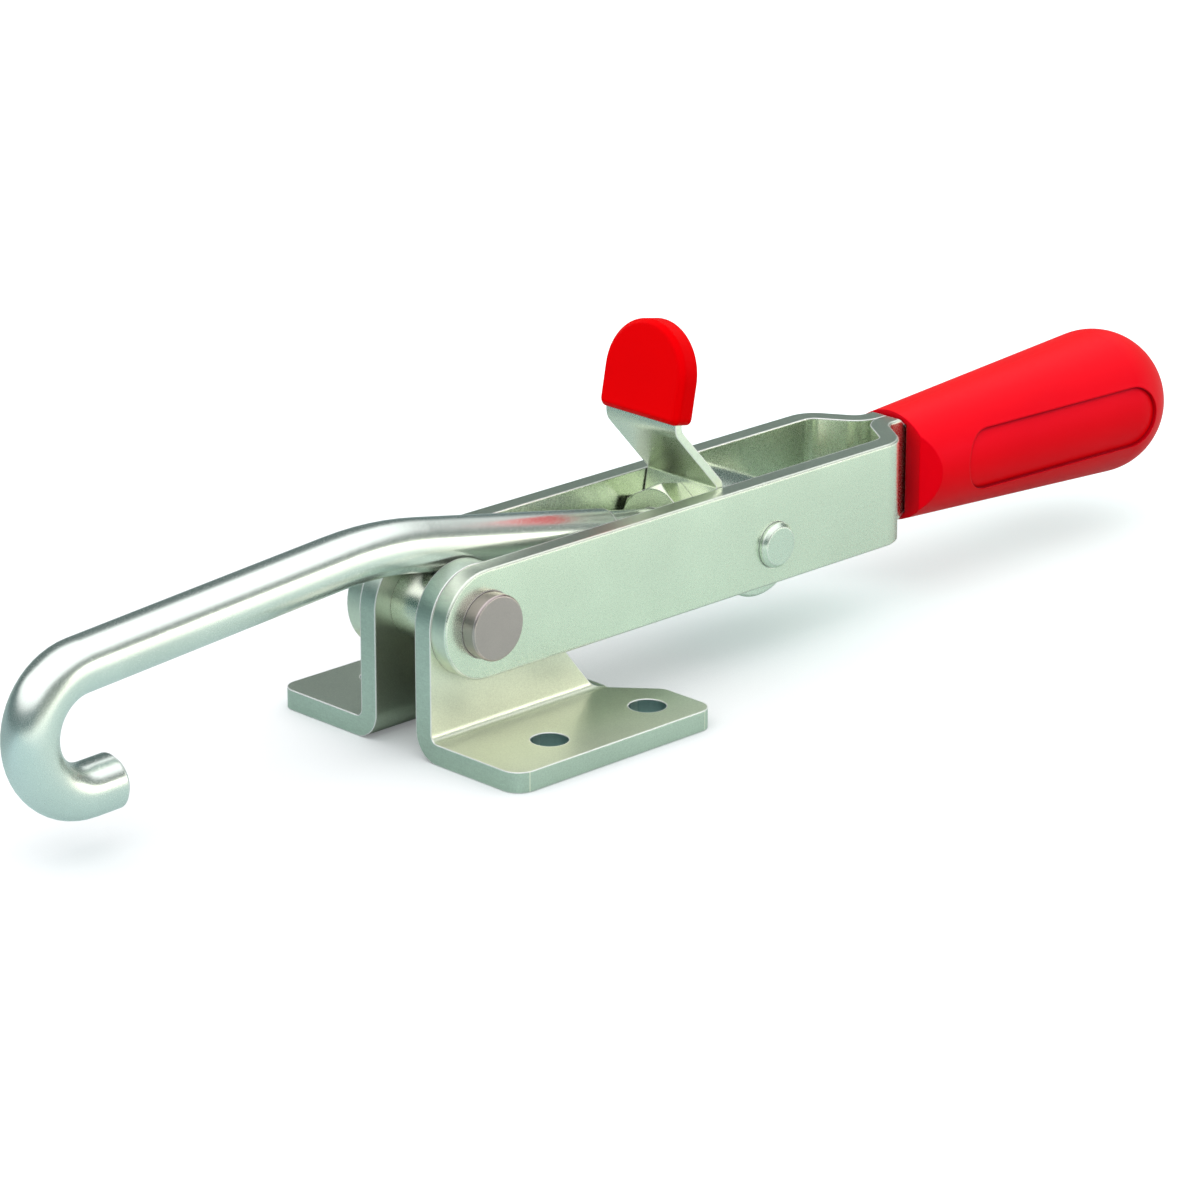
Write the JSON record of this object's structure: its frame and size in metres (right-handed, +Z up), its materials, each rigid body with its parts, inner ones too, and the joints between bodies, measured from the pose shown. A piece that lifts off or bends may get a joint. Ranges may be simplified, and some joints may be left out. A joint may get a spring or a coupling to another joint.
{
  "type": "over centre toggle latch",
  "caption": "Over centre toggle latch: a gripped handle on two bent brackets draws a J hook rod, which a bent thumb lever lifts",
  "frame": {"origin": "centre of the four bolt holes, on the underside of the base", "axes": "+X towards the grip, +Z up from the mounting surface, +Y towards the far bracket"},
  "size_m": [0.2341, 0.0508, 0.054],
  "materials": {
    "bracket_steel": "satin",
    "arm_steel": "satin",
    "pin_steel": "satin",
    "spacer_steel": "satin",
    "rivet_steel": "satin",
    "trunnion_steel": "satin",
    "rod_steel": "satin",
    "nut_steel": "satin",
    "lever_steel": "satin",
    "grip_plastic": "satin",
    "cap_plastic": "satin"
  },
  "bodies": {
    "base": {"base_bracket_near": "bracket_steel", "base_bracket_far": "bracket_steel", "pivot_pin": "pin_steel", "pivot_spacer": "spacer_steel"},
    "handle": {"handle_arm_near": "arm_steel", "handle_arm_far": "arm_steel", "tang_rivet_front": "rivet_steel", "tang_rivet_rear": "rivet_steel", "grip": "grip_plastic"},
    "hook": {"trunnion": "trunnion_steel", "j_hook": "rod_steel", "front_nut": "nut_steel", "rear_nut": "nut_steel", "thumb_lever": "lever_steel", "lever_cap": "cap_plastic"}
  },
  "joints": [
    {"name": "handle_swing", "type": "hinge", "parent": "base", "child": "handle", "pos_m": [-0.01465, 0, 0.0198], "axis": [0, -1, 0], "range_deg": [0, 110]},
    {"name": "hook_swing", "type": "hinge", "parent": "handle", "child": "hook", "pos_m": [0.04445, 0, 0.01785], "axis": [0, 1, 0], "range_deg": [0, 92]}
  ]
}
